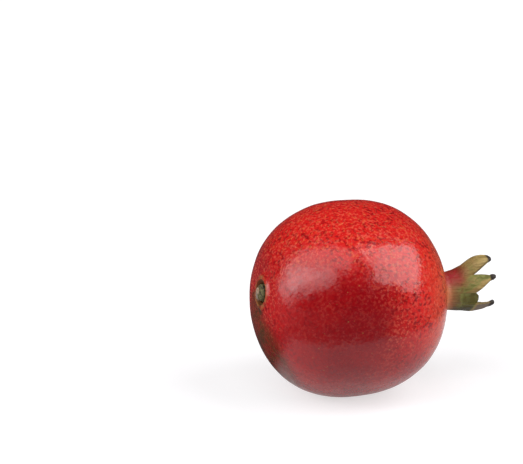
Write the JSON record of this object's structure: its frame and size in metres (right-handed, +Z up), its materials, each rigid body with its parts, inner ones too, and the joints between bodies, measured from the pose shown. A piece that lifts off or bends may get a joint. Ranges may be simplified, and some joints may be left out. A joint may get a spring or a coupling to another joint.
{
  "type": "pomegranate",
  "caption": "Whole ripe pomegranate lying on its side, round with low ribs, a flared and lobed calyx crown at one end and a cut woody stalk stub at the other.",
  "frame": {"origin": "centre of the flat spot that the fruit rests on, straight below the centre of its round body", "axes": "+X towards the calyx crown, +Z up"},
  "size_m": [0.1071, 0.0828, 0.0835],
  "materials": {
    "rind": "waxy satin red rind with fine yellow speckles, turning olive and brown on the calyx",
    "stalk": "rough green-brown woody stalk with a paler cut end",
    "dry_stamens": "dry matte brown threads with tan heads"
  },
  "bodies": {
    "root": {"fruit": "rind", "stem_stub": "stalk", "stamens": "dry_stamens"}
  },
  "joints": []
}
